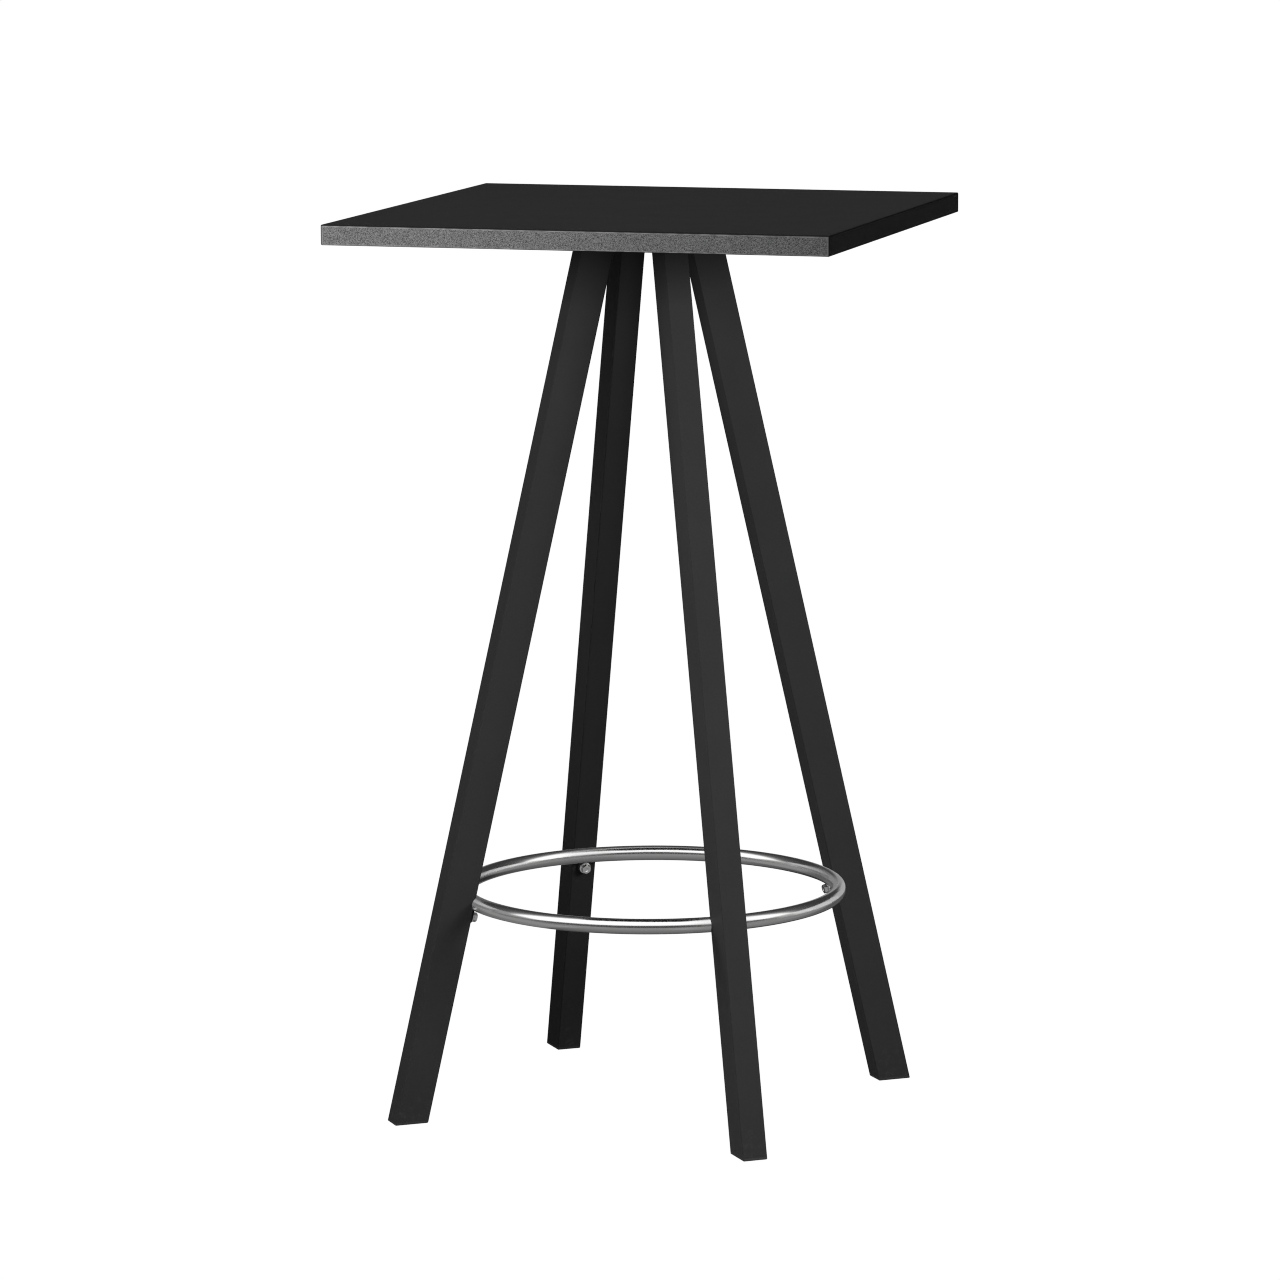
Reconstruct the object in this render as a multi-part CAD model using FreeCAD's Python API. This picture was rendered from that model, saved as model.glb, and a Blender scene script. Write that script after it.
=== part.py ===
"""Square bar-height pub table: laminated top on four splayed steel legs with a round foot ring.

Millimetres. +Z is up, the floor is Z = 0 and the Z axis is the axis of the foot ring.
+X runs along the front edge of the top, to the right, and +Y runs from front to back.
The underframe (plate, legs, ring) is a four-fold piece. It sits turned by TOP_TURN under
the top, so its legs stand TOP_TURN clockwise of the top's diagonals, seen from above.
"""
import FreeCAD, Part
import math
import os

V = FreeCAD.Vector

# ---------------------------------------------------------------- driving dimensions
TOP_SIDE = 600.0            # side of the square top, over the edge bands
TABLE_H = 1070.0            # floor to table surface
CORE_T = 22.0               # chipboard core
LAM_T = 0.8                 # high pressure laminate, top face and backing
BAND_T = 2.0                # ABS edge band
BAND_ARRIS = 1.5            # milled radius on the long edges of the band
BAND_CORNER = 1.2           # eased vertical corner of the top
TOP_TURN = 7.3              # degrees between the top and the underframe

LEG_W = 40.0                # leg tube, side in the radial direction
LEG_B = 30.0                # leg tube, side across the radius
LEG_WALL = 2.0
LEG_R = 1.5                 # outside corner radius of the tube
LEG_RI = 0.6                # inside corner radius
FOOT_SPREAD = 219.0         # half spacing of the leg axes at the floor
HEAD_SPREAD = 45.0          # half spacing of the leg axes at the underside of the top

RING_R = 223.4              # centreline radius of the foot ring
RING_D = 18.0               # tube diameter
RING_WALL = 1.5
RING_Z = 257.2              # centreline height
NOTCH_GAP = 0.25            # play between ring tube and the saddle cut in the leg

LUG_W = 16.0                # ring lug, across
LUG_T = 4.0
LUG_DROP = 17.0             # ring centre to bolt axis, measured down the leg
M6_HOLE = 6.6

PLATE_SIDE = 230.0          # steel mounting plate
PLATE_T = 6.0
PLATE_CORNER = 24.0
PLATE_FIX = 98.0            # half spacing of the eight plate screws

FLANGE_IN = 39.0            # leg flange, radial extent
FLANGE_OUT = 101.0
FLANGE_HALF = 36.0          # half width
FLANGE_T = 5.0
FLANGE_CUT = 7.0            # corner chamfer
FB_T = 26.0                 # flange bolts: offset across the radius
FB_R1, FB_R2 = 50.0, 90.0   # flange bolts: radii

INSERT_D = 10.0             # threaded insert in the core
INSERT_L = 12.0

PAD_T = 3.0                 # sole of the plastic foot insert
PLUG_IN = 24.0              # length of the insert inside the tube

os.makedirs("parts", exist_ok=True)

# ---------------------------------------------------------------- derived
UNDER = TABLE_H - CORE_T - 2 * LAM_T          # underside of the top
HALF = TOP_SIDE / 2.0
R_FOOT = math.sqrt(2) * FOOT_SPREAD           # leg axis radius at the floor
R_HEAD = math.sqrt(2) * HEAD_SPREAD           # leg axis radius at UNDER
ALPHA = math.atan2(R_FOOT - R_HEAD, UNDER)    # lean from the vertical
SA, CA = math.sin(ALPHA), math.cos(ALPHA)
PLATE_Z = UNDER - PLATE_T
FLANGE_Z = PLATE_Z - FLANGE_T                 # leg tube is cut off and welded here

# every leg is built along +X and turned to its corner
CORNERS = [("front_left", 225.0), ("front_right", 315.0),
           ("back_right", 45.0), ("back_left", 135.0)]


def turned(shape, deg):
    s = shape.copy()
    s.rotate(V(0, 0, 0), V(0, 0, 1), deg)
    return s


def at_corner(shape, deg):
    return turned(shape, deg - TOP_TURN)


def save(name, shapes):
    if not isinstance(shapes, (list, tuple)):
        shapes = [shapes]
    solids = []
    for s in shapes:
        solids += list(s.Solids)
    out = solids[0] if len(solids) == 1 else Part.makeCompound(solids)
    out.exportStep("parts/%s.step" % name)
    print("%-26s %2d solid(s) %12.1f mm3 valid %s" % (
        name, len(solids), sum(s.Volume for s in solids), all(s.isValid() for s in solids)))


def rounded_rect(w, b, r):
    """Face in XY, centred on the origin, w along X and b along Y, corner radius r."""
    x, y = w / 2.0, b / 2.0
    q = r * (1 - math.sqrt(0.5))
    e = [Part.LineSegment(V(-x + r, -y, 0), V(x - r, -y, 0)),
         Part.Arc(V(x - r, -y, 0), V(x - q, -y + q, 0), V(x, -y + r, 0)),
         Part.LineSegment(V(x, -y + r, 0), V(x, y - r, 0)),
         Part.Arc(V(x, y - r, 0), V(x - q, y - q, 0), V(x - r, y, 0)),
         Part.LineSegment(V(x - r, y, 0), V(-x + r, y, 0)),
         Part.Arc(V(-x + r, y, 0), V(-x + q, y - q, 0), V(-x, y - r, 0)),
         Part.LineSegment(V(-x, y - r, 0), V(-x, -y + r, 0)),
         Part.Arc(V(-x, -y + r, 0), V(-x + q, -y + q, 0), V(-x + r, -y, 0))]
    return Part.Face(Part.Wire([i.toShape() for i in e]))


def leaning(w, b, r):
    """Long prism of the rounded section along the leg's leaning axis, radius along +X."""
    f = rounded_rect(w, b, r)
    f.translate(V(0, 0, -200))
    p = f.extrude(V(0, 0, 1600))
    p.rotate(V(0, 0, 0), V(0, 1, 0), -math.degrees(ALPHA))
    p.translate(V(R_FOOT, 0, 0))
    return p


def slab(z0, z1, size=1400.0):
    return Part.makeBox(size, size, z1 - z0, V(-size / 2, -size / 2, z0))


def cyl(p, axis, r, length):
    return Part.makeCylinder(r, length, p, axis)


def hexagon(s, h):
    """Hexagonal prism, s across flats, from Z = 0 up, centred."""
    rc = s / math.sqrt(3)
    pts = [V(rc * math.cos(math.radians(60 * i)), rc * math.sin(math.radians(60 * i)), 0) for i in range(7)]
    return Part.Face(Part.makePolygon(pts)).extrude(V(0, 0, h))


def flange_bolt(shank):
    """M6 hexagon flange bolt. The head's bearing face is Z = 0, head towards +Z, shank towards -Z."""
    skirt = Part.makeCylinder(7.1, 1.1)
    cone = Part.makeCone(7.1, 5.4, 1.1, V(0, 0, 1.1))
    head = hexagon(10.0, 6.6)
    # chamfered crown: the hexagon's points are turned down to a 30 degree cone
    crown = Part.makeCone(5.0 + 6.6 * 1.732, 5.0 - 0.45 * 1.732, 6.6 + 0.45)
    crown = crown.common(Part.makeCylinder(12, 6.6))
    head = head.common(crown)
    dimple = Part.makeCone(1.9, 2.5, 0.6, V(0, 0, 6.0))
    body = skirt.fuse(cone).fuse(head).cut(dimple)
    stem = Part.makeCylinder(3.0, shank - 0.8, V(0, 0, -(shank - 0.8)))
    tip = Part.makeCone(2.3, 3.0, 0.8, V(0, 0, -shank))
    return body.fuse(stem).fuse(tip).removeSplitter()


def pan_screw(shank):
    """M6 pan head screw with a hexagon socket. Bearing face Z = 0, head towards -Z, shank towards +Z."""
    head = Part.makeCylinder(6.0, 3.3, V(0, 0, -3.3))
    rim = [e for e in head.Edges if abs(e.BoundBox.ZMax + 3.3) < 1e-6 and abs(e.BoundBox.ZMin + 3.3) < 1e-6]
    head = head.makeFillet(1.6, [e for e in rim if e.Length > 30])
    socket = hexagon(4.0, 2.1)
    socket.translate(V(0, 0, -3.3))
    stem = Part.makeCylinder(3.0, shank - 0.8)
    tip = Part.makeCone(3.0, 2.3, 0.8, V(0, 0, shank - 0.8))
    return head.fuse(stem).fuse(tip).cut(socket).removeSplitter()


def place(shape, origin, z_dir):
    """Moves a shape built along +Z so that its Z axis points along z_dir at origin."""
    s = shape.copy()
    rot = FreeCAD.Rotation(V(0, 0, 1), z_dir)
    s.Placement = FreeCAD.Placement(origin, rot).multiply(s.Placement)
    return s


# ================================================================ top
# core board, drilled from below for the threaded inserts
fix_points = []
for ix in (-1, 0, 1):
    for iy in (-1, 0, 1):
        if ix or iy:
            p = V(ix * PLATE_FIX, iy * PLATE_FIX, 0)
            fix_points.append(FreeCAD.Rotation(V(0, 0, 1), -TOP_TURN).multVec(p))

inner = TOP_SIDE - 2 * BAND_T
core = Part.makeBox(inner, inner, CORE_T, V(-inner / 2, -inner / 2, UNDER + LAM_T))
backing = Part.makeBox(inner, inner, LAM_T, V(-inner / 2, -inner / 2, UNDER))
laminate = Part.makeBox(inner, inner, LAM_T, V(-inner / 2, -inner / 2, TABLE_H - LAM_T))
for p in fix_points:
    bore = cyl(V(p.x, p.y, UNDER - 1), V(0, 0, 1), INSERT_D / 2, INSERT_L + 1)
    bore = bore.fuse(cyl(V(p.x, p.y, UNDER - 1), V(0, 0, 1), 3.2, INSERT_L + 1 + 3.0))
    core = core.cut(bore)
    backing = backing.cut(bore)
save("tabletop_core", core)
save("backing_laminate", backing)
save("top_laminate", laminate)

# edge bands: one milled rim, split where the strips butt together near the corners.
# the front and back strips run the full width and cover the ends of the side strips
rim = Part.makeBox(TOP_SIDE, TOP_SIDE, TABLE_H - UNDER, V(-HALF, -HALF, UNDER))
upright = [e for e in rim.Edges if abs(e.BoundBox.ZLength - (TABLE_H - UNDER)) < 1e-6]
rim = rim.makeFillet(BAND_CORNER, upright)
outer_long = [e for e in rim.Edges if e.BoundBox.ZLength < 1e-6]
rim = rim.makeFillet(BAND_ARRIS if BAND_ARRIS < BAND_T else BAND_T - 0.2, outer_long)
rim = rim.cut(Part.makeBox(inner, inner, 100, V(-inner / 2, -inner / 2, UNDER - 20)))
cutter = inner / 2
side_box = {"front": Part.makeBox(700, 100, 100, V(-350, -cutter - 100, UNDER - 20)),
            "back": Part.makeBox(700, 100, 100, V(-350, cutter, UNDER - 20)),
            "left": Part.makeBox(100, 2 * cutter, 100, V(-cutter - 100, -cutter, UNDER - 20)),
            "right": Part.makeBox(100, 2 * cutter, 100, V(cutter, -cutter, UNDER - 20))}
for side, b in side_box.items():
    save("edge_band_" + side, rim.common(b))

# ================================================================ fixing of the top
plate = Part.makeBox(PLATE_SIDE, PLATE_SIDE, PLATE_T, V(-PLATE_SIDE / 2, -PLATE_SIDE / 2, PLATE_Z))
plate = plate.makeFillet(PLATE_CORNER, [e for e in plate.Edges if abs(e.BoundBox.ZLength - PLATE_T) < 1e-6])
plate = turned(plate, -TOP_TURN)
for p in fix_points:
    plate = plate.cut(cyl(V(p.x, p.y, PLATE_Z - 1), V(0, 0, 1), 3.5, PLATE_T + 2))
flange_holes = [(r, t) for r in (FB_R1, FB_R2) for t in (-FB_T, FB_T)]
for name, deg in CORNERS:
    for r, t in flange_holes:
        plate = plate.cut(at_corner(cyl(V(r, t, PLATE_Z - 1), V(0, 0, 1), 3.0, PLATE_T + 2), deg))
# lightening and cable hole in the middle
plate = plate.cut(cyl(V(0, 0, PLATE_Z - 1), V(0, 0, 1), 20.0, PLATE_T + 2))
save("mounting_plate", plate)

insert = Part.makeCylinder(INSERT_D / 2, INSERT_L, V(0, 0, UNDER)).cut(
    Part.makeCylinder(3.0, INSERT_L + 2, V(0, 0, UNDER - 1)))
save("threaded_inserts", [place(insert, V(p.x, p.y, 0), V(0, 0, 1)) for p in fix_points])

screw = pan_screw(16.0)
save("plate_screws", [place(screw, V(p.x, p.y, PLATE_Z), V(0, 0, 1)) for p in fix_points])

# ================================================================ legs
tube_outer = leaning(LEG_W, LEG_B, LEG_R)
tube_inner = leaning(LEG_W - 2 * LEG_WALL, LEG_B - 2 * LEG_WALL, LEG_RI)
body = slab(PAD_T, FLANGE_Z)
leg = tube_outer.cut(tube_inner).common(body)

# frame on the inner face of the leg, at the height of the ring
axis_r = R_FOOT - RING_Z * math.tan(ALPHA)
N_IN = V(-CA, 0, -SA)                      # out of the leg, towards the middle of the table
DOWN = V(SA, 0, -CA)                       # down the leg
ACROSS = V(0, 1, 0)
ring_c = V(RING_R, 0, RING_Z)
stand_off = (axis_r - RING_R) * CA - LEG_W / 2.0      # ring centre to the leg's inner face
face_o = ring_c - N_IN * stand_off
bolt_o = face_o + DOWN * LUG_DROP          # where the bolt axis meets the inner face

notch = Part.makeTorus(RING_R, RING_D / 2 + NOTCH_GAP)
notch.translate(V(0, 0, RING_Z))
rivet_hole = cyl(bolt_o + N_IN * 2.0, N_IN * -1, 4.5, 7.0)
leg = leg.cut(notch).cut(rivet_hole)

flange = Part.makeBox(FLANGE_OUT - FLANGE_IN, 2 * FLANGE_HALF, FLANGE_T, V(FLANGE_IN, -FLANGE_HALF, FLANGE_Z))
flange = flange.makeChamfer(FLANGE_CUT, [e for e in flange.Edges if abs(e.BoundBox.ZLength - FLANGE_T) < 1e-6])
for r, t in flange_holes:
    flange = flange.cut(cyl(V(r, t, FLANGE_Z - 1), V(0, 0, 1), M6_HOLE / 2, FLANGE_T + 2))

# foot insert: a sole with the outline of the cut tube, a cup that plugs the tube, two grip ribs
sole = tube_outer.common(slab(0, PAD_T))
sole_edges = [e for e in sole.Edges if e.BoundBox.ZMax < 1e-6]
try:
    eased = sole.makeChamfer(0.8, sole_edges)
    if eased.isValid():
        sole = eased
except Exception as err:
    print("sole left square:", err)
cup = leaning(LEG_W - 2 * LEG_WALL - 0.4, LEG_B - 2 * LEG_WALL - 0.4, LEG_RI).common(slab(PAD_T, PAD_T + PLUG_IN))
cup = cup.cut(leaning(LEG_W - 2 * LEG_WALL - 5.4, LEG_B - 2 * LEG_WALL - 5.4, 1.0).common(slab(PAD_T + 1.0, PAD_T + PLUG_IN + 5)))
rib = leaning(LEG_W - 2 * LEG_WALL, LEG_B - 2 * LEG_WALL, LEG_RI)
ribs = [rib.common(slab(z, z + 1.2)).cut(leaning(LEG_W - 2 * LEG_WALL - 4, LEG_B - 2 * LEG_WALL - 4, 1.0)) for z in (PAD_T + 7, PAD_T + 15)]
foot = sole.fuse(cup).fuse(ribs[0]).fuse(ribs[1]).removeSplitter()

for name, deg in CORNERS:
    save("leg_" + name, at_corner(leg, deg))
for name, deg in CORNERS:
    save("leg_flange_" + name, at_corner(flange, deg))
for name, deg in CORNERS:
    save("foot_insert_" + name, at_corner(foot, deg))

fb = flange_bolt(10.0)
save("leg_flange_bolts", [at_corner(place(fb, V(r, t, FLANGE_Z), V(0, 0, -1)), deg)
                          for name, deg in CORNERS for r, t in flange_holes])

# ================================================================ foot ring
ring = Part.makeTorus(RING_R, RING_D / 2).cut(Part.makeTorus(RING_R, RING_D / 2 - RING_WALL))
ring.translate(V(0, 0, RING_Z))
save("foot_ring", turned(ring, -TOP_TURN))

# lug: flat tab on the leg's inner face, coped to the underside of the ring and welded to it
def face_point(u, t, n):
    return face_o + DOWN * u + ACROSS * t + N_IN * n

u0 = 2.0
pts = [face_point(u0, -LUG_W / 2, 0), face_point(LUG_DROP, -LUG_W / 2, 0),
       face_point(LUG_DROP + LUG_W / 2, 0, 0),
       face_point(LUG_DROP, LUG_W / 2, 0), face_point(u0, LUG_W / 2, 0)]
lug_wire = Part.Wire([Part.LineSegment(pts[0], pts[1]).toShape(), Part.Arc(pts[1], pts[2], pts[3]).toShape(),
                      Part.LineSegment(pts[3], pts[4]).toShape(), Part.LineSegment(pts[4], pts[0]).toShape()])
lug = Part.Face(lug_wire).extrude(N_IN * LUG_T)
cope = Part.makeTorus(RING_R, RING_D / 2)
cope.translate(V(0, 0, RING_Z))
lug = lug.cut(cope).cut(cyl(bolt_o - N_IN * 2, N_IN, M6_HOLE / 2, LUG_T + 4))
lug = max(lug.Solids, key=lambda s: s.Volume)

rb = flange_bolt(16.0)
ring_bolt = place(rb, bolt_o + N_IN * LUG_T, N_IN)

# blind-side rivet nut, set flush in the tube wall and bulbed behind it
nut = cyl(bolt_o, N_IN * -1, 4.5, 13.0)
nut = nut.fuse(cyl(bolt_o - N_IN * LEG_WALL, N_IN * -1, 6.2, 3.2))
nut = nut.cut(cyl(bolt_o + N_IN, N_IN * -1, 3.0, 20.0)).removeSplitter()

save("ring_lugs", [at_corner(lug, deg) for name, deg in CORNERS])
save("ring_bolts", [at_corner(ring_bolt, deg) for name, deg in CORNERS])
save("ring_rivet_nuts", [at_corner(nut, deg) for name, deg in CORNERS])
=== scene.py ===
"""Looks of the pub table: materials, weld beads, light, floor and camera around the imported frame."""
import math
import bpy
import bmesh
from mathutils import Matrix, Vector, Euler


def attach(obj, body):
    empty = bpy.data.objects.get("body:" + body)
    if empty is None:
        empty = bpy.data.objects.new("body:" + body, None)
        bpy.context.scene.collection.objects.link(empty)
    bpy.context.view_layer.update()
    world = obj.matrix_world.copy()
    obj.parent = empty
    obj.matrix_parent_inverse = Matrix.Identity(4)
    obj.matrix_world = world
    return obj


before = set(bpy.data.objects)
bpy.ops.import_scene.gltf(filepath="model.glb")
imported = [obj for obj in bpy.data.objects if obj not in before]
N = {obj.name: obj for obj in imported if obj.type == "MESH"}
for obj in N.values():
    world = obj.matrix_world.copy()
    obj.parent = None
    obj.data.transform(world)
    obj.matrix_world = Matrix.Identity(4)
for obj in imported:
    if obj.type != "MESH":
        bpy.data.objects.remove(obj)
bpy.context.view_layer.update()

# ------------------------------------------------------------------ dimensions repeated from the construction, metres
TOP_TURN = math.radians(7.3)
TABLE_H = 1.070
UNDER = 1.0464
PLATE_Z = 1.0404
FLANGE_Z = 1.0354
LEG_W, LEG_B, LEG_R = 0.040, 0.030, 0.0015
R_FOOT, R_HEAD = math.sqrt(2) * 0.2190, math.sqrt(2) * 0.0450
ALPHA = math.atan2(R_FOOT - R_HEAD, UNDER)
SA, CA = math.sin(ALPHA), math.cos(ALPHA)
RING_R, RING_D, RING_Z = 0.2234, 0.018, 0.2572
CORNERS = {"front_left": 225.0, "front_right": 315.0, "back_right": 45.0, "back_left": 135.0}


# ================================================================== node helpers
class Tree:
    """Short names for building a shader tree."""

    def __init__(self, nt):
        self.nt = nt
        nt.nodes.clear()

    def new(self, kind, **props):
        n = self.nt.nodes.new(kind)
        for k, v in props.items():
            setattr(n, k, v)
        return n

    def link(self, a, b):
        self.nt.links.new(a, b)

    def put(self, socket, value):
        if isinstance(value, bpy.types.NodeSocket):
            self.link(value, socket)
        elif value is not None:
            socket.default_value = value

    def math(self, op, a, b=None, c=None, clamp=False):
        n = self.new("ShaderNodeMath", operation=op, use_clamp=clamp)
        for s, v in zip(n.inputs, (a, b, c)):
            self.put(s, v)
        return n.outputs[0]

    def noise(self, vec, scale, detail=2.0, rough=0.5, dims="3D", w=None, lac=2.0, dist=0.0, kind=None):
        n = self.new("ShaderNodeTexNoise", noise_dimensions=dims)
        if kind:
            n.noise_type = kind
        self.put(n.inputs["Vector"], vec)
        n.inputs["Scale"].default_value = scale
        n.inputs["Detail"].default_value = detail
        n.inputs["Roughness"].default_value = rough
        n.inputs["Lacunarity"].default_value = lac
        n.inputs["Distortion"].default_value = dist
        if w is not None:
            self.put(n.inputs["W"], w)
        return n.outputs["Fac"]

    def voronoi(self, vec, scale, feature="F1", smooth=None, rand=1.0):
        n = self.new("ShaderNodeTexVoronoi", feature=feature)
        self.put(n.inputs["Vector"], vec)
        n.inputs["Scale"].default_value = scale
        if smooth is not None:
            n.inputs["Smoothness"].default_value = smooth
        n.inputs["Randomness"].default_value = rand
        return n.outputs["Distance"]

    def cells(self, vec, scale):
        """A random value for each cell."""
        n = self.new("ShaderNodeTexVoronoi", feature="F1")
        self.put(n.inputs["Vector"], vec)
        n.inputs["Scale"].default_value = scale
        return self.xyz(n.outputs["Color"])[0]

    def ramp(self, fac, stops, interp="LINEAR"):
        n = self.new("ShaderNodeValToRGB")
        n.color_ramp.interpolation = interp
        e = n.color_ramp.elements
        while len(e) > 1:
            e.remove(e[-1])
        for i, (p, c) in enumerate(stops):
            if not isinstance(c, (tuple, list)):
                c = (c, c, c, 1.0)
            el = e[0] if i == 0 else e.new(p)
            el.position = p
            el.color = c
        self.put(n.inputs["Fac"], fac)
        return n.outputs["Color"]

    def span(self, value, a, b, lo=0.0, hi=1.0, smooth=False):
        n = self.new("ShaderNodeMapRange", clamp=True)
        n.interpolation_type = "SMOOTHSTEP" if smooth else "LINEAR"
        self.put(n.inputs["Value"], value)
        n.inputs["From Min"].default_value = a
        n.inputs["From Max"].default_value = b
        self.put(n.inputs["To Min"], lo)
        self.put(n.inputs["To Max"], hi)
        return n.outputs["Result"]

    def mix(self, fac, a, b, blend="MIX"):
        n = self.new("ShaderNodeMix", data_type="RGBA", blend_type=blend)
        self.put(n.inputs[0], fac)
        for s, v in ((n.inputs[6], a), (n.inputs[7], b)):
            if isinstance(v, (int, float)):
                v = (v, v, v, 1.0)
            self.put(s, v)
        return n.outputs[2]

    def xyz(self, vec):
        n = self.new("ShaderNodeSeparateXYZ")
        self.put(n.inputs[0], vec)
        return n.outputs

    def vec(self, x, y, z):
        n = self.new("ShaderNodeCombineXYZ")
        for s, v in zip(n.inputs, (x, y, z)):
            self.put(s, v)
        return n.outputs[0]

    def mapping(self, vec, scale=(1, 1, 1), rot=(0, 0, 0), loc=(0, 0, 0)):
        n = self.new("ShaderNodeMapping")
        self.put(n.inputs["Vector"], vec)
        n.inputs["Location"].default_value = loc
        n.inputs["Rotation"].default_value = rot
        n.inputs["Scale"].default_value = scale
        return n.outputs[0]

    def bump(self, height, strength, distance, normal=None):
        n = self.new("ShaderNodeBump")
        n.inputs["Strength"].default_value = strength
        n.inputs["Distance"].default_value = distance
        self.put(n.inputs["Height"], height)
        if normal is not None:
            self.put(n.inputs["Normal"], normal)
        return n.outputs[0]


def material(name, **sockets):
    """A Principled material, its tree and its shader. sockets are set on the shader's own inputs."""
    m = bpy.data.materials.new(name)
    m.use_nodes = True
    t = Tree(m.node_tree)
    out = t.new("ShaderNodeOutputMaterial")
    p = t.new("ShaderNodeBsdfPrincipled")
    t.link(p.outputs[0], out.inputs["Surface"])
    for k, v in sockets.items():
        p.inputs[k.replace("_", " ")].default_value = v
    t.p = p
    t.co = t.new("ShaderNodeTexCoord").outputs["Object"]
    return m, t


# ================================================================== materials
def make_laminate(name, base, seed):
    """Matt black high pressure laminate: a fine suede texture, faint rubbed clouds and hairlines."""
    m, t = material(name, Specular_IOR_Level=0.17, IOR=1.5)
    co = t.mapping(t.co, loc=(seed, seed * 0.7, 0))
    cloud = t.noise(co, 9.0, 4.0, 0.6)
    fine = t.noise(co, 1100.0, 2.0, 0.6)
    pebble = t.voronoi(co, 900.0, "SMOOTH_F1", 0.6)
    # hairlines: long thin streaks in two directions, only where a cloud mask lets them
    line_a = t.noise(t.mapping(co, scale=(900, 14, 1), rot=(0, 0, math.radians(31))), 1.0, 1.0, 0.4)
    line_b = t.noise(t.mapping(co, scale=(1100, 18, 1), rot=(0, 0, math.radians(-48))), 1.0, 1.0, 0.4)
    hair = t.math("MAXIMUM", t.span(line_a, 0.735, 0.80, smooth=True), t.span(line_b, 0.75, 0.81, smooth=True))
    hair = t.math("MULTIPLY", hair, t.span(t.noise(co, 21.0, 2.0, 0.5), 0.52, 0.68, smooth=True))
    tone = t.math("MULTIPLY_ADD", cloud, 0.16, 0.92)
    tone = t.math("MULTIPLY", tone, t.math("MULTIPLY_ADD", fine, 0.24, 0.88))
    tone = t.math("ADD", tone, t.math("MULTIPLY", hair, 0.10))
    col = t.mix(1.0, (base, base, base * 1.01, 1.0), t.vec(tone, tone, tone), "MULTIPLY")
    t.link(col, t.p.inputs["Base Color"])
    rough = t.math("MULTIPLY_ADD", cloud, 0.14, 0.44)
    rough = t.math("MULTIPLY_ADD", fine, 0.06, rough)
    rough = t.math("MULTIPLY_ADD", hair, -0.10, rough, clamp=True)
    t.link(rough, t.p.inputs["Roughness"])
    h = t.math("MULTIPLY_ADD", pebble, 0.7, t.math("MULTIPLY", fine, 0.5))
    t.link(t.bump(h, 0.22, 0.00006), t.p.inputs["Normal"])
    return m


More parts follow.
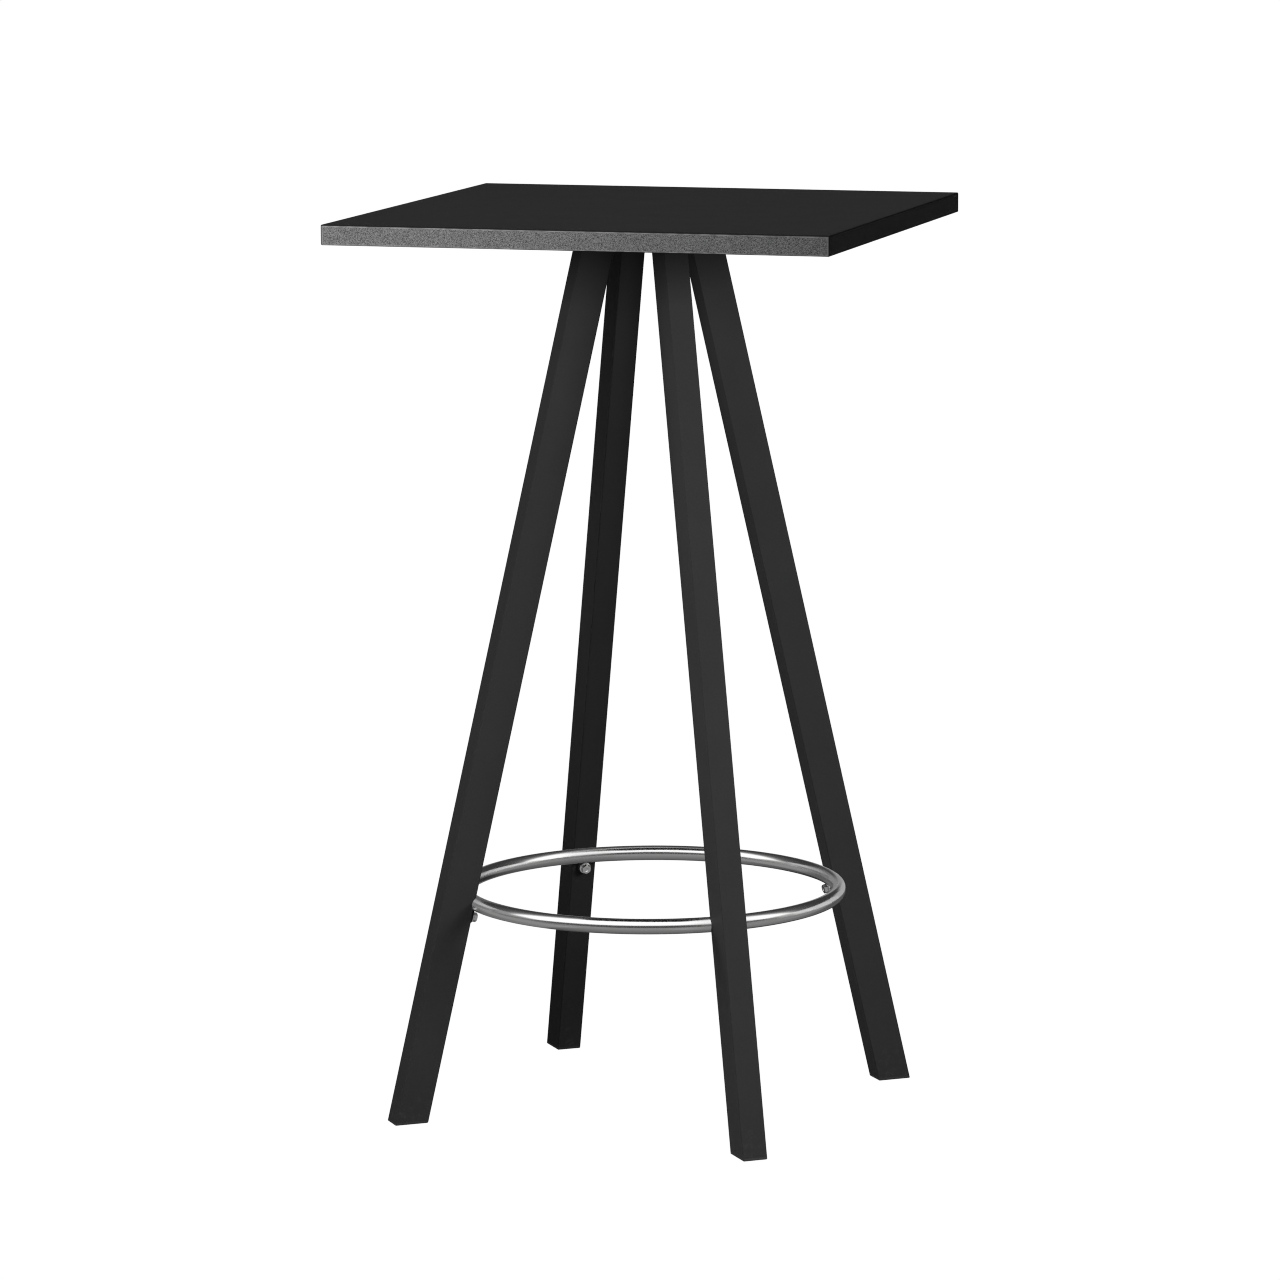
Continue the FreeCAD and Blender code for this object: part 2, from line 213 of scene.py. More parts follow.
def make_band():
    """Grained ABS edge band, graphite grey: bright and dark grains about a millimetre across, gloss on the milled
    edges, and a highlight painted into the colour along those edges and the vertical corners.
    """
    m, t = material("band", Specular_IOR_Level=0.07, IOR=1.5)
    warp = t.noise(t.co, 900.0, 1.0, 0.5)
    co = t.new("ShaderNodeVectorMath", operation="ADD")
    t.put(co.inputs[0], t.co)
    w3 = t.math("MULTIPLY_ADD", warp, 0.0009, -0.00045)
    t.put(co.inputs[1], t.vec(w3, w3, w3))
    co = co.outputs[0]
    c1 = t.cells(co, 1450.0)
    c2 = t.cells(t.mapping(co, loc=(3.1, 1.7, 0.4)), 1900.0)
    g1 = t.noise(t.mapping(t.co, loc=(1.3, 5.1, 2.4)), 1150.0, 2.0, 0.6)
    g2 = t.noise(t.mapping(t.co, loc=(2.3, 0.1, 1.4)), 2100.0, 1.0, 0.5)
    cloud = t.noise(t.co, 24.0, 3.0, 0.5)
    grain = t.math("MULTIPLY_ADD", c2, 0.40, t.math("MULTIPLY", c1, 0.60))
    mixed = t.math("MULTIPLY_ADD", t.span(g1, 0.32, 0.68), 0.26, t.math("MULTIPLY", grain, 0.74))
    tone = t.span(mixed, 0.24, 0.76, 0.20, 1.88)
    tone = t.math("MULTIPLY", tone, t.math("MULTIPLY_ADD", cloud, 0.10, 0.95))
    # the milled edges above and below, and the vertical corners, are smoother plastic with a highlight painted into
    # their colour; a thin dark joint line runs along the laminate and the mitres
    x, y, z = t.xyz(t.co)
    top = t.span(z, TABLE_H - 0.0030, TABLE_H - 0.0021, smooth=True)
    bottom = t.span(z, UNDER + 0.0020, UNDER + 0.0011, smooth=True)
    corner = t.span(t.math("ADD", t.math("ABSOLUTE", x), t.math("ABSOLUTE", y)), 0.5968, 0.5980, smooth=True)
    lip_highlight_mask = t.math("MAXIMUM", t.math("MAXIMUM", top, bottom), corner)
    cut = t.math("MAXIMUM", t.span(z, TABLE_H - 0.0016, TABLE_H - 0.0012, smooth=True),
                 t.span(z, UNDER + 0.0008, UNDER + 0.0004, smooth=True))
    mitre = t.span(t.math("ADD", t.math("ABSOLUTE", x), t.math("ABSOLUTE", y)), 0.5985, 0.5989, smooth=True)
    cut = t.math("MAXIMUM", cut, t.math("MULTIPLY", mitre, 0.75))
    # the painted highlight on those edges is brighter here and there
    run = t.noise(t.mapping(t.co, scale=(70, 70, 4)), 1.0, 2.0, 0.6)
    painted_shine = t.span(run, 0.40, 0.62, 1.15, 2.10, smooth=True)
    # painted highlight: the colour of the edges is raised towards the shine factor
    tone = t.mix(t.math("MULTIPLY", lip_highlight_mask, 0.8), t.vec(tone, tone, tone), t.vec(painted_shine, painted_shine, painted_shine))
    col = t.mix(1.0, (0.1238, 0.1238, 0.1258, 1.0), tone, "MULTIPLY")
    col = t.mix(cut, col, (0.010, 0.010, 0.010, 1.0))
    t.link(col, t.p.inputs["Base Color"])
    rough = t.math("MULTIPLY_ADD", mixed, 0.24, 0.34)
    rough = t.math("MULTIPLY_ADD", lip_highlight_mask, -0.16, rough, clamp=True)
    t.link(rough, t.p.inputs["Roughness"])
    h = t.math("MULTIPLY_ADD", g2, 0.15, t.math("MULTIPLY", t.math("SUBTRACT", 1.0, lip_highlight_mask), t.math("MULTIPLY_ADD", g1, 0.5, t.math("MULTIPLY", grain, 0.5))))
    t.link(t.bump(h, 0.40, 0.00012), t.p.inputs["Normal"])
    return m


def make_powder():
    """Black powder coat, satin: orange peel, tiny nibs, a little settling of dust near the feet."""
    m, t = material("powder_coat", Specular_IOR_Level=0.04, IOR=1.5)
    peel = t.noise(t.co, 520.0, 2.0, 0.5)
    peel2 = t.voronoi(t.co, 820.0, "SMOOTH_F1", 1.0)
    cloud = t.noise(t.co, 16.0, 3.0, 0.55)
    nib = t.span(t.voronoi(t.mapping(t.co, loc=(0.3, 0.9, 0.2)), 95.0), 0.05, 0.02, smooth=True)
    tone = t.math("MULTIPLY_ADD", cloud, 0.20, 0.90)
    tone = t.math("MULTIPLY", tone, t.math("MULTIPLY_ADD", peel, 0.16, 0.92))
    z = t.xyz(t.co)[2]
    scuff = t.math("MULTIPLY", t.span(z, 0.055, 0.004, smooth=True), t.span(t.noise(t.co, 130.0, 4.0, 0.65), 0.50, 0.72, smooth=True))
    tone = t.math("MULTIPLY_ADD", scuff, 0.35, tone)
    col = t.mix(1.0, (0.0240, 0.0240, 0.0242, 1.0), t.vec(tone, tone, tone), "MULTIPLY")
    t.link(col, t.p.inputs["Base Color"])
    rough = t.math("MULTIPLY_ADD", cloud, 0.12, 0.47)
    rough = t.math("MULTIPLY_ADD", scuff, 0.18, rough, clamp=True)
    t.link(rough, t.p.inputs["Roughness"])
    h = t.math("MULTIPLY_ADD", peel2, 0.55, t.math("MULTIPLY", peel, 0.75))
    n = t.bump(h, 0.30, 0.00010)
    n = t.bump(nib, 0.35, 0.00008, n)
    t.link(n, t.p.inputs["Normal"])
    return m


def make_ring():
    """Satin stainless steel tube, belt ground along its length."""
    m, t = material("satin_steel", Metallic=1.0, Anisotropic=0.55, Anisotropic_Rotation=0.25)
    x, y, z = t.xyz(t.co)
    r = t.math("SQRT", t.math("ADD", t.math("MULTIPLY", x, x), t.math("MULTIPLY", y, y)))
    dr = t.math("SUBTRACT", r, RING_R)
    dz = t.math("SUBTRACT", z, RING_Z)
    # fast round the section, slow along the tube: the lines of the grinding belt
    fine = t.noise(t.vec(t.math("MULTIPLY", x, 22.0), t.math("MULTIPLY", y, 22.0), t.math("MULTIPLY", dr, 3200.0)),
                   1.0, 2.0, 0.6, "4D", w=t.math("MULTIPLY", dz, 3200.0))
    broad = t.noise(t.vec(t.math("MULTIPLY", x, 9.0), t.math("MULTIPLY", y, 9.0), t.math("MULTIPLY", dr, 900.0)),
                    1.0, 2.0, 0.5, "4D", w=t.math("MULTIPLY", dz, 900.0))
    cloud = t.noise(t.co, 30.0, 3.0, 0.5)
    # close to each lug the colour is darkened, a painted reflection of the black legs, and the metal is rougher
    ang = t.math("ARCTAN2", y, x)
    near = None
    for deg in CORNERS.values():
        a = math.radians(deg) - TOP_TURN
        a = math.atan2(math.sin(a), math.cos(a))
        d = t.math("ABSOLUTE", t.math("SUBTRACT", ang, a))
        d = t.math("MINIMUM", d, t.math("SUBTRACT", 2 * math.pi, d))
        s = t.span(t.math("MULTIPLY", d, RING_R), 0.050, 0.014, smooth=True)
        near = s if near is None else t.math("MAXIMUM", near, s)
    tone = t.math("MULTIPLY_ADD", fine, 0.14, 0.93)
    tone = t.math("MULTIPLY", tone, t.math("MULTIPLY_ADD", broad, 0.10, 0.95))
    # painted reflection: darker near the lugs
    tone = t.math("MULTIPLY_ADD", near, -0.16, tone)
    col = t.mix(1.0, (0.600, 0.599, 0.596, 1.0), t.vec(tone, tone, tone), "MULTIPLY")
    t.link(col, t.p.inputs["Base Color"])
    rough = t.math("MULTIPLY_ADD", fine, 0.08, 0.09)
    rough = t.math("MULTIPLY_ADD", cloud, 0.05, rough)
    rough = t.math("MULTIPLY_ADD", near, 0.09, rough, clamp=True)
    t.link(rough, t.p.inputs["Roughness"])
    h = t.math("MULTIPLY_ADD", broad, 0.5, t.math("MULTIPLY", fine, 0.5))
    t.link(t.bump(h, 0.16, 0.00004), t.p.inputs["Normal"])
    tan = t.new("ShaderNodeTangent", direction_type="RADIAL", axis="Z")
    t.link(tan.outputs[0], t.p.inputs["Tangent"])
    return m


def make_zinc():
    """Bright zinc plate on turned and cold-headed fasteners, darkened in the corners as painted shade found by an
    occlusion test, and rougher there.
    """
    m, t = material("zinc", Metallic=1.0)
    grain = t.noise(t.co, 2600.0, 2.0, 0.6)
    spot = t.noise(t.co, 420.0, 3.0, 0.6)
    tone = t.math("MULTIPLY_ADD", spot, 0.30, 0.85)
    tone = t.math("MULTIPLY", tone, t.math("MULTIPLY_ADD", grain, 0.16, 0.92))
    # painted shade: an occlusion test darkens the colour in the crevices and makes them rougher
    corner = t.new("ShaderNodeAmbientOcclusion", samples=8, only_local=True)
    corner.inputs["Distance"].default_value = 0.0022
    crevice_shade_factor = t.span(corner.outputs["AO"], 0.45, 0.95, 0.10, 1.0, smooth=True)
    tone = t.math("MULTIPLY", tone, crevice_shade_factor)
    t.link(t.mix(1.0, (0.70, 0.70, 0.695, 1.0), t.vec(tone, tone, tone), "MULTIPLY"), t.p.inputs["Base Color"])
    rough = t.math("MULTIPLY_ADD", spot, 0.22, 0.16)
    rough = t.math("MULTIPLY_ADD", t.math("SUBTRACT", 1.0, crevice_shade_factor), 0.35, rough, clamp=True)
    t.link(rough, t.p.inputs["Roughness"])
    t.link(t.bump(grain, 0.25, 0.00003), t.p.inputs["Normal"])
    return m


def make_weld():
    """Bare weld metal, brushed clean: duller and rougher than the ring's tube."""
    m, t = material("weld_metal", Metallic=1.0)
    grain = t.noise(t.co, 1800.0, 3.0, 0.65)
    spot = t.noise(t.co, 300.0, 2.0, 0.5)
    tone = t.math("MULTIPLY_ADD", spot, 0.5, 0.72)
    t.link(t.mix(1.0, (0.42, 0.41, 0.40, 1.0), t.vec(tone, tone, tone), "MULTIPLY"), t.p.inputs["Base Color"])
    t.link(t.math("MULTIPLY_ADD", grain, 0.25, 0.32), t.p.inputs["Roughness"])
    t.link(t.bump(grain, 0.5, 0.00008), t.p.inputs["Normal"])
    return m


def make_plastic():
    """Black moulded polyethylene of the foot inserts: spark texture, scuffed on the sole."""
    m, t = material("foot_plastic", Specular_IOR_Level=0.35, IOR=1.5)
    grit = t.noise(t.co, 1300.0, 3.0, 0.6)
    cloud = t.noise(t.co, 60.0, 3.0, 0.5)
    z = t.xyz(t.co)[2]
    scuff = t.math("MULTIPLY", t.span(z, 0.0016, 0.0, smooth=True), t.span(t.noise(t.co, 240.0, 4.0, 0.6), 0.42, 0.62, smooth=True))
    tone = t.math("MULTIPLY_ADD", cloud, 0.3, 0.85)
    tone = t.math("MULTIPLY_ADD", scuff, 0.9, tone)
    t.link(t.mix(1.0, (0.020, 0.020, 0.0205, 1.0), t.vec(tone, tone, tone), "MULTIPLY"), t.p.inputs["Base Color"])
    t.link(t.math("MULTIPLY_ADD", grit, 0.18, 0.46), t.p.inputs["Roughness"])
    t.link(t.bump(grit, 0.35, 0.00008), t.p.inputs["Normal"])
    return m


def make_core():
    """Chipboard: pale chips with darker fines, coarser in the middle of the board."""
    m, t = material("chipboard", Specular_IOR_Level=0.2)
    chip = t.voronoi(t.mapping(t.co, scale=(260, 260, 900)), 1.0, "F1")
    tint = t.noise(t.mapping(t.co, scale=(180, 180, 700)), 1.0, 2.0, 0.6)
    fine = t.noise(t.co, 1500.0, 2.0, 0.5)
    k = t.math("MULTIPLY_ADD", tint, 0.6, t.math("MULTIPLY", chip, 0.5))
    col = t.ramp(k, [(0.15, (0.20, 0.115, 0.055, 1)), (0.45, (0.42, 0.28, 0.155, 1)), (0.75, (0.60, 0.45, 0.28, 1))])
    t.link(col, t.p.inputs["Base Color"])
    t.link(t.math("MULTIPLY_ADD", fine, 0.1, 0.8), t.p.inputs["Roughness"])
    t.link(t.bump(t.math("ADD", chip, fine), 0.4, 0.0003), t.p.inputs["Normal"])
    return m


LAM = make_laminate("laminate", 0.0135, 0.0)
BACK = make_laminate("backing", 0.0170, 4.0)
BAND = make_band()
POWDER = make_powder()
RING = make_ring()
ZINC = make_zinc()
WELD = make_weld()
PLASTIC = make_plastic()
CORE = make_core()

ASSIGN = {
    "tabletop_core": CORE, "top_laminate": LAM, "backing_laminate": BACK,
    "edge_band_front": BAND, "edge_band_back": BAND, "edge_band_left": BAND, "edge_band_right": BAND,
    "mounting_plate": POWDER, "threaded_inserts": ZINC, "plate_screws": ZINC,
    "leg_flange_bolts": ZINC, "foot_ring": RING, "ring_lugs": POWDER, "ring_bolts": ZINC, "ring_rivet_nuts": ZINC,
}
for c in CORNERS:
    ASSIGN["leg_" + c] = POWDER
    ASSIGN["leg_flange_" + c] = POWDER
    ASSIGN["foot_insert_" + c] = PLASTIC
for name, mat in ASSIGN.items():
    o = N[name]
    if not o.material_slots:
        o.data.materials.append(mat)
    for s in o.material_slots:
        s.link = "OBJECT"
        s.material = mat


# tumbled edges on the cut plates, so that they catch a line of light
for name in ["mounting_plate", "ring_lugs"] + ["leg_flange_" + c for c in CORNERS]:
    o = N[name]
    weld = o.modifiers.new("weld", "WELD")
    weld.merge_threshold = 0.000005
    bev = o.modifiers.new("edges", "BEVEL")
    bev.width = 0.00035
    bev.segments = 2
    bev.limit_method = "ANGLE"
    bev.angle_limit = math.radians(40)
    bev.harden_normals = True


# ================================================================== weld beads
def turn(deg):
    return Matrix.Rotation(math.radians(deg) - TOP_TURN, 4, "Z")


def mesh_object(name, verts, faces, mat, smooth=True):
    me = bpy.data.meshes.new(name)
    me.from_pydata([tuple(v) for v in verts], [], faces)
    me.validate()
    me.update()
    if smooth:
        for p in me.polygons:
            p.use_smooth = True
    me.materials.append(mat)
    o = bpy.data.objects.new(name, me)
    bpy.context.scene.collection.objects.link(o)
    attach(o, "root")
    return o


def hashed(i, j=0):
    """A repeatable number from 0 to 1."""
    v = math.sin(i * 12.9898 + j * 78.233) * 43758.5453
    return v - math.floor(v)


def leg_outline(z, n_arc=8, n_side=14):
    """Points of the leg tube's outside on the level plane z, in the frame where the leg leans along +X, with outward normals."""
    ax = R_FOOT - z * math.tan(ALPHA)
    w, b, r = LEG_W / 2, LEG_B / 2, LEG_R
    out = []

    def add(u, v, nu, nv):
        # section point u along the radial side and v across; sheared onto the level plane
        out.append((Vector((ax + u / CA, v, z)), Vector((nu, nv, 0)).normalized()))

    quads = [(w - r, b - r, 0), (-(w - r), b - r, 90), (-(w - r), -(b - r), 180), (w - r, -(b - r), 270)]
    for i, (cu, cv, a0) in enumerate(quads):
        for k in range(n_arc + 1):
            a = math.radians(a0 + 90 * k / n_arc)
            add(cu + r * math.cos(a), cv + r * math.sin(a), math.cos(a), math.sin(a))
        nu, nv, _ = quads[(i + 1) % 4]
        a = math.radians(a0 + 90)
        p0 = (cu + r * math.cos(a), cv + r * math.sin(a))
        p1 = (nu + r * math.cos(a), nv + r * math.sin(a))
        for k in range(1, n_side):
            s = k / n_side
            add(p0[0] + (p1[0] - p0[0]) * s, p0[1] + (p1[1] - p0[1]) * s, math.cos(a), math.sin(a))
    return out


def bead(path, closed, size, mat, name, seed, ripple=0.00115, m=9):
    """A rippled fillet bead. path is (root point, direction along one leg, direction along the other) at even steps."""
    verts, faces = [], []
    dist = 0.0
    for i, (p, a, b) in enumerate(path):
        if i:
            dist += (p - path[i - 1][0]).length
        phase = dist / ripple
        wave = 0.5 + 0.5 * math.cos(2 * math.pi * phase)
        s = size * (0.93 + 0.05 * hashed(int(phase) + 1, seed) + 0.06 * math.sin(dist * 410 + seed))
        for k in range(m):
            f = k / (m - 1)
            # slightly crowned between the two toes
            q = a * (s * (1 - f)) + b * (s * f)
            crown = math.sin(math.pi * f)
            q += (a + b).normalized() * (s * (0.16 * crown - 0.045 * wave * crown))
            verts.append(p + q)
        # root, let into the corner
        verts.append(p - (a + b) * 0.0004)
    w = m + 1
    n = len(path)
    for i in range(n if closed else n - 1):
        j = (i + 1) % n
        for k in range(w):
            k2 = (k + 1) % w
            faces.append((i * w + k, i * w + k2, j * w + k2, j * w + k))
    if not closed:
        faces.append(tuple(range(w)))
        faces.append(tuple(reversed(range((n - 1) * w, n * w))))
    return verts, faces


def resample(points, step, closed=True):
    """Even steps along a list of (point, normal)."""
    pts = points + ([points[0]] if closed else [])
    acc = [0.0]
    for i in range(1, len(pts)):
        acc.append(acc[-1] + (pts[i][0] - pts[i - 1][0]).length)
    total = acc[-1]
    n = max(8, round(total / step))
    out, j = [], 0
    for i in range(n if closed else n + 1):
        d = total * i / n
        while j < len(acc) - 2 and acc[j + 1] < d:
            j += 1
        f = (d - acc[j]) / max(acc[j + 1] - acc[j], 1e-12)
        out.append((pts[j][0].lerp(pts[j + 1][0], f), pts[j][1].lerp(pts[j + 1][1], f).normalized()))
    return out


down_leg = Vector((SA, 0, -CA))
WELDS = []
for idx, (cname, deg) in enumerate(CORNERS.items()):
    ring_pts = resample(leg_outline(FLANGE_Z), 0.00028)
    path = []
    for p, nrm in ring_pts:
        # along the flange's underside, and down the leg's wall
        along_wall = down_leg - nrm * 0.0
        path.append((p, nrm, along_wall))
    v, f = bead(path, True, 0.0042, POWDER, "weld", idx)
    M = turn(deg)
    o = mesh_object("leg_weld_" + cname, [M @ q for q in v], f, POWDER)
    WELDS.append(o)

# ================================================================== stage: floor, light, camera
scene = bpy.context.scene
scene.view_settings.view_transform = "Standard"
scene.view_settings.look = "None"
scene.view_settings.exposure = 0.0
scene.view_settings.gamma = 1.0
scene.cycles.filter_width = 1.1     # a sharp lens

# floor
me = bpy.data.meshes.new("floor")
S = 400.0
me.from_pydata([(-S, -S, 0), (S, -S, 0), (S, S, 0), (-S, S, 0)], [], [(0, 1, 2, 3)])
floor = bpy.data.objects.new("floor", me)
scene.collection.objects.link(floor)
fm = bpy.data.materials.new("floor")
fm.use_nodes = True
t = Tree(fm.node_tree)
out = t.new("ShaderNodeOutputMaterial")
dif = t.new("ShaderNodeBsdfDiffuse")
dif.inputs["Color"].default_value = (0.05, 0.05, 0.05, 1)
emi = t.new("ShaderNodeEmission")
emi.inputs["Strength"].default_value = 1.0
add = t.new("ShaderNodeAddShader")
t.link(dif.outputs[0], add.inputs[0])
t.link(emi.outputs[0], add.inputs[1])
clear = t.new("ShaderNodeBsdfTransparent")
side = t.new("ShaderNodeNewGeometry")
mixs = t.new("ShaderNodeMixShader")
t.link(side.outputs["Backfacing"], mixs.inputs[0])
t.link(add.outputs[0], mixs.inputs[1])
t.link(clear.outputs[0], mixs.inputs[2])
t.link(mixs.outputs[0], out.inputs["Surface"])
fm.cycles.emission_sampling = "NONE"
me.materials.append(fm)
floor.visible_diffuse = False
floor.visible_glossy = False


def sun(name, azimuth, elevation, strength, angle):
    """A soft distant lamp that shines from that side. It lights, and the surroundings give the reflections."""
    d = bpy.data.lights.new(name, "SUN")
    d.energy = strength
    d.angle = math.radians(angle)
    o = bpy.data.objects.new(name, d)
    a, e = math.radians(azimuth), math.radians(elevation)
    frm = Vector((math.cos(a) * math.cos(e), math.sin(a) * math.cos(e), math.sin(e)))
    o.rotation_mode = "QUATERNION"
    o.rotation_quaternion = frm.to_track_quat("Z", "Y")
    o.visible_glossy = False
    scene.collection.objects.link(o)
    return o


def softbox(name, at, aim, width, height, watts):
    """A soft rectangular lamp. It lights, and the surroundings give the reflections."""
    d = bpy.data.lights.new(name, "AREA")
    d.shape = "RECTANGLE"
    d.size, d.size_y = width, height
    d.energy = watts
    o = bpy.data.objects.new(name, d)
    o.location = at
    o.rotation_mode = "QUATERNION"
    o.rotation_quaternion = (Vector(at) - Vector(aim)).to_track_quat("Z", "Y")
    o.visible_glossy = o.visible_camera = o.visible_transmission = False
    scene.collection.objects.link(o)
    return o


def lights_only(lamp, pieces):
    """Keeps a lamp to some pieces, as flags and barn doors do in a studio."""
    c = bpy.data.collections.new(lamp.name + "_lights")
    for q in pieces:
        c.objects.link(q)
    lamp.light_linking.receiver_collection = c


def around(az, dist, z):
    a = math.radians(az)
    return (math.cos(a) * dist, math.sin(a) * dist, z)


bands = [N["edge_band_" + s_] for s_ in ("front", "back", "left", "right")]
dim_leg = [N["leg_back_left"], N["foot_insert_back_left"]]
far_leg = [N["leg_back_right"], N["foot_insert_back_right"]]
near_leg = [N["leg_front_left"], N["foot_insert_front_left"]]
top_parts = bands + [N["top_laminate"], N["backing_laminate"], N["tabletop_core"]]
rest = [o for o in list(N.values()) + WELDS if o not in top_parts + dim_leg + far_leg + near_leg]

for name, az, dist, z, watts, w_, h_, dim, far, near in (("left", -175.0, 2.6, 1.56, 58.0, 0.8, 0.85, 0.02, 0.72, 0.41),
                                                         ("front", -97.0, 2.4, 1.44, 56.0, 0.6, 0.80, 0.30, 0.79, 1.0),
                                                         ("right", -19.0, 2.6, 1.36, 63.0, 0.8, 0.80, 0.78, 1.01, 0.905)):
    for group, pieces, share in (("legs", rest, 1.0), ("back_leg", dim_leg, dim), ("side_leg", far_leg, far), ("near_leg", near_leg, near)):
        L = softbox(group + "_" + name, around(az, dist, z), (0, 0, 0.60), w_, h_, watts * share)
        lights_only(L, pieces)
        if name == "front" and share < 1.0:
            # each front leg stands exactly before a back leg, so only the top shades the back legs on this side
            shade = bpy.data.collections.new(L.name + "_shade")
            for q in top_parts:
                shade.objects.link(q)
            L.light_linking.blocker_collection = shade
lights_only(softbox("edge", (-0.30, -1.14, 1.058), (-0.30, -0.30, 1.058), 0.30, 0.16, 9.4), bands)
lights_only(softbox("overhead", (-0.1, -0.5, 2.6), (0, 0, 1.07), 1.4, 1.4, 9.1), [o for o in top_parts if o is not N["edge_band_right"]])
# gridded lamps that lift the middle and the foot of the legs only
for name, az, dist, z, watts, w_, h_, dim, far, near in (("left", -175.0, 2.3, 0.40, 0.12, 0.4, 0.3, 0.42, 0.80, 0.25),
                                                         ("front", -97.0, 2.3, 0.40, 0.08, 0.4, 0.3, 0.60, 1.48, 1.0),
                                                         ("right", -19.0, 2.3, 0.40, 0.032, 0.4, 0.3, 2.10, 3.70, 2.5)):
    for group, pieces, share in (("legs", rest, 1.0), ("back_leg", dim_leg, dim), ("side_leg", far_leg, far), ("near_leg", near_leg, near)):
        L = softbox(group + "_low_" + name, around(az, dist, z), (0, 0, 0.22), w_, h_, watts * share)
        L.data.spread = math.radians(30)
        lights_only(L, pieces)
L = softbox("back_leg_strip", around(-165.0, 2.3, 0.72), (-0.12, 0.15, 0.58), 0.3, 0.2, 0.33)
L.data.spread = math.radians(24)
lights_only(L, dim_leg)
# light for the sides that the camera doesn't see: the legs and band from behind, and the fixings from the floor
hidden = [o for o in rest + dim_leg + far_leg + near_leg if o is not N["foot_ring"]]
lights_only(softbox("behind", around(83.0, 2.6, 1.25), (0, 0, 0.60), 1.1, 1.3, 96.0), hidden)
lights_only(softbox("edge_behind", around(98.0, 1.6, 1.25), (0, 0.3, 1.058), 0.6, 0.5, 7.0), [N["edge_band_back"], N["edge_band_left"]])
under = [N["backing_laminate"], N["mounting_plate"], N["plate_screws"], N["leg_flange_bolts"]] + [N["leg_flange_" + c] for c in CORNERS] + WELDS
lights_only(softbox("under", (0.0, 0.0, 0.02), (0.0, 0.0, 1.07), 1.3, 1.3, 11.0), under)
sun("fill", 118.0, 30.0, 1.1, 36.0)

# cards that only the bright metal mirrors, beside and behind the table
metal = [N["foot_ring"]]
own_shadow = bpy.data.collections.new("own_shadow")
own_shadow.objects.link(N["foot_ring"])


def card(name, at, aim, width, height, level):
    """A glowing card of the given brightness, seen only in the reflections of the bright metal."""
    o = softbox(name, at, aim, width, height, level * math.pi * width * height)
    o.visible_glossy = True
    lights_only(o, metal)
    o.light_linking.blocker_collection = own_shadow
    return o


# a low wall of diffusers round the back and both sides, overlapped: (bearing, foot, head, brightness)
for k, (bearing, z0, z1, level) in enumerate((
        (16.0, 0.05, 1.38, 0.26), (28.0, 0.05, 1.38, 0.36), (40.0, 0.05, 1.38, 0.42), (53.0, 0.05, 1.38, 0.40),
        (66.0, 0.05, 1.30, 0.28), (78.0, 0.05, 1.15, 0.24), (91.0, 0.05, 1.00, 0.22), (103.0, 0.05, 0.95, 0.13),
        (116.0, 0.05, 1.10, 0.12), (128.0, 0.30, 1.70, 0.15), (141.0, 0.90, 1.85, 0.28), (153.0, 1.00, 1.90, 0.36),
        (166.0, 1.00, 1.90, 0.36), (178.0, 1.00, 1.90, 0.30), (148.0, 0.05, 1.00, 0.16), (170.0, 0.05, 1.00, 0.24))):
    card("diffuser_%d" % (k + 1), around(bearing, 3.0, (z0 + z1) / 2), (0.0, 0.0, (z0 + z1) / 2), 1.34, z1 - z0, level)
card("pale_board_left", (-3.40, 2.6, 0.001), (-3.40, 2.6, 1.0), 6.4, 6.4, 0.14)
card("pale_board_right", (3.45, 2.6, 0.001), (3.45, 2.6, 1.0), 6.4, 6.4, 0.09)
# the black legs are left out of what the ring mirrors; the ring's colour is darkened near its lugs as a painted
# reflection of them
for c in CORNERS:
    N["leg_" + c].visible_glossy = False
    N["foot_insert_" + c].visible_glossy = False
# and the ring throws no bounced light on the black legs
N["foot_ring"].visible_diffuse = False

# surroundings
w = bpy.data.worlds.new("studio")
scene.world = w
w.use_nodes = True
t = Tree(w.node_tree)
out = t.new("ShaderNodeOutputWorld")
co = t.new("ShaderNodeTexCoord").outputs["Generated"]
FACE = math.radians(-73.3)          # the side that the front panels stand on
rot = t.mapping(co, rot=(0, 0, -FACE))
x, y, z = t.xyz(rot)                # x points to the front panels, z up
theta = t.math("ARCTAN2", z, x)     # 0 front horizon, 90 overhead, 180 back horizon, below the floor negative
u = t.math("MULTIPLY_ADD", theta, 1 / (2 * math.pi), 0.5)


def at(deg):
    return (deg + 180.0) / 360.0


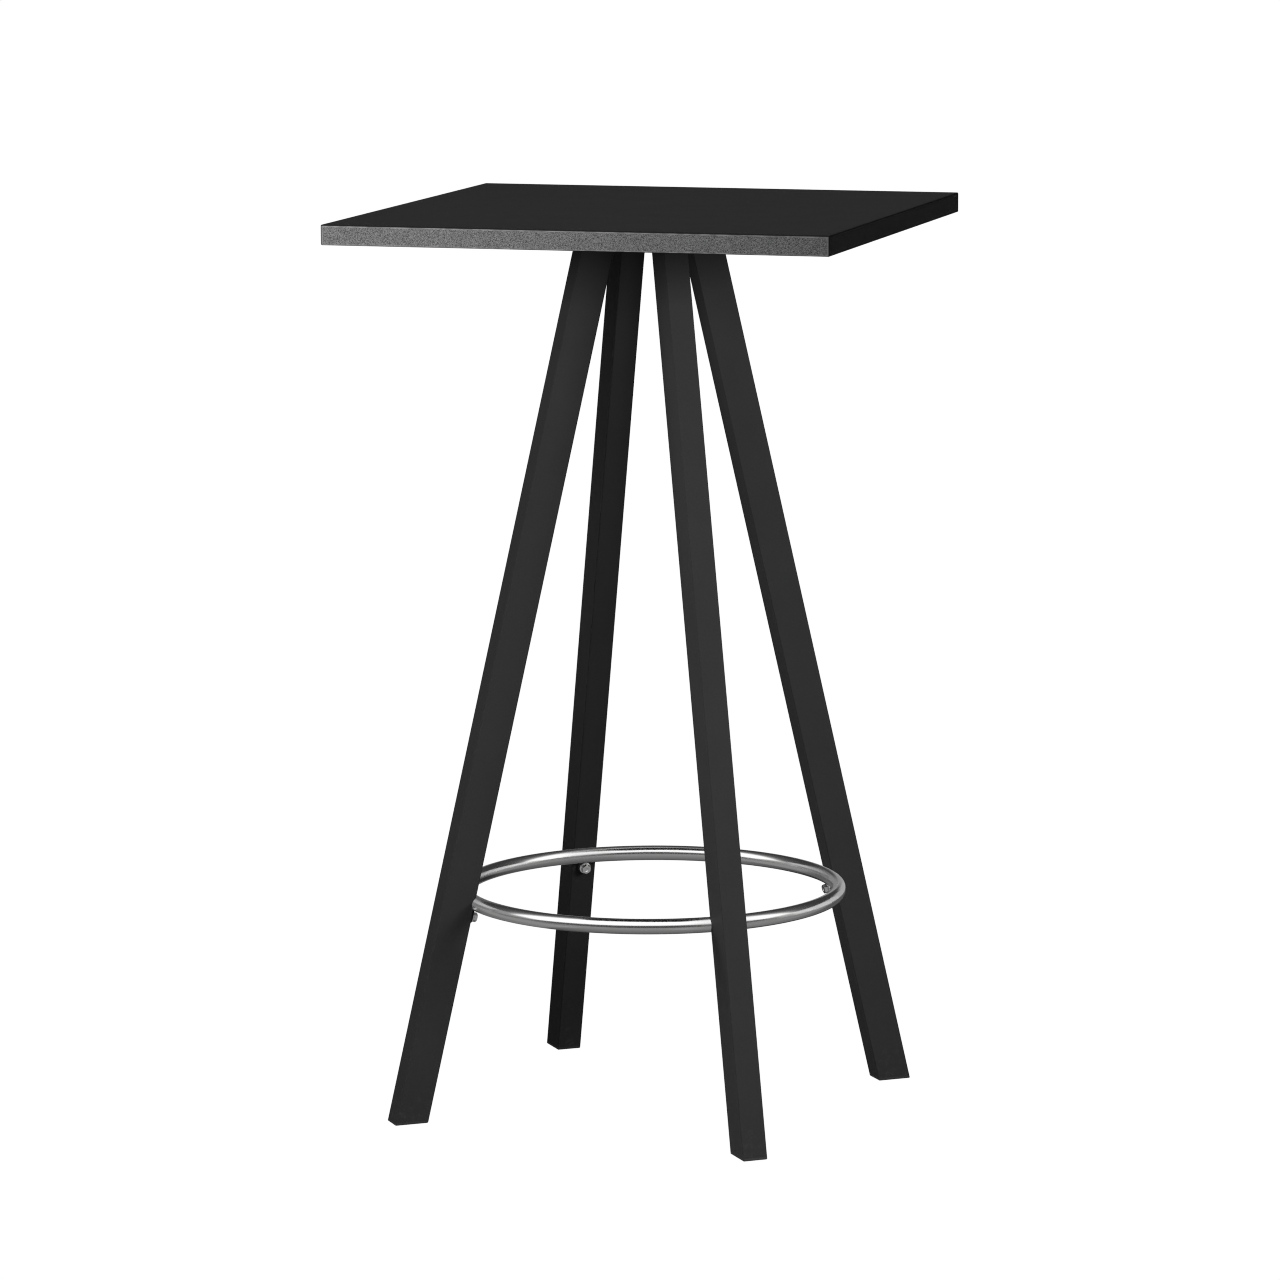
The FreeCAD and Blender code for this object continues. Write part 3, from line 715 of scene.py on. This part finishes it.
gloss = t.ramp(u, [
    (at(-180), 0.015), (at(-150), 0.04), (at(-121), 0.15), (at(-90), 0.23), (at(-60), 0.30), (at(-25), 0.39), (at(-6), 0.36),
    (at(-1.5), 0.09), (at(20), 0.08),
    (at(28), 1.60), (at(60), 1.85), (at(92), 1.70),
    (at(103), 0.45), (at(116), 0.14), (at(140), 0.06), (at(179.9), 0.05)])
side_on = t.span(t.math("ABSOLUTE", y), 0.91, 0.985, smooth=True)
gloss = t.mix(side_on, gloss, t.ramp(t.math("MULTIPLY_ADD", z, 0.5, 0.5), [
    (0.30, 0.22), (0.49, 0.20), (0.52, 0.40), (0.70, 0.55), (0.80, 0.30)]))
low_side = t.math("MULTIPLY", t.span(t.math("ABSOLUTE", y), 0.68, 0.86, smooth=True), t.span(z, 0.0, -0.10, smooth=True))
gloss = t.mix(low_side, gloss, 0.26)
diffuse = t.ramp(z, [(0.0, 0.010), (0.5, 0.015), (1.0, 0.04)])
lp = t.new("ShaderNodeLightPath")
bg_g = t.new("ShaderNodeBackground")
bg_d = t.new("ShaderNodeBackground")
bg_c = t.new("ShaderNodeBackground")
t.link(gloss, bg_g.inputs["Color"])
t.link(diffuse, bg_d.inputs["Color"])
bg_c.inputs["Color"].default_value = (1, 1, 1, 1)
m1 = t.new("ShaderNodeMixShader")
t.link(lp.outputs["Is Glossy Ray"], m1.inputs[0])
t.link(bg_d.outputs[0], m1.inputs[1])
t.link(bg_g.outputs[0], m1.inputs[2])
m2 = t.new("ShaderNodeMixShader")
t.link(lp.outputs["Is Camera Ray"], m2.inputs[0])
t.link(m1.outputs[0], m2.inputs[1])
t.link(bg_c.outputs[0], m2.inputs[2])
t.link(m2.outputs[0], out.inputs["Surface"])
w.cycles.sampling_method = "NONE"

# camera
YAW, PITCH, ROLL = math.radians(16.84453), math.radians(8.99239), math.radians(-0.28164)
cam = bpy.data.cameras.new("camera")
cam.lens, cam.sensor_width, cam.sensor_height = 168.837, 36.0, 36.0
cam.clip_start, cam.clip_end = 0.1, 600.0
cam.dof.use_dof = False
co_ = bpy.data.objects.new("camera", cam)
scene.collection.objects.link(co_)
fwd = Vector((-math.sin(YAW) * math.cos(PITCH), math.cos(YAW) * math.cos(PITCH), -math.sin(PITCH)))
right = Vector((math.cos(YAW), math.sin(YAW), 0))
up = right.cross(fwd)
r2 = right * math.cos(ROLL) + up * math.sin(ROLL)
u2 = up * math.cos(ROLL) - right * math.sin(ROLL)
co_.rotation_mode = "QUATERNION"
co_.rotation_quaternion = Matrix((r2, u2, -fwd)).transposed().to_quaternion()
co_.location = (2.02462, -6.72968, 1.66960)
scene.camera = co_
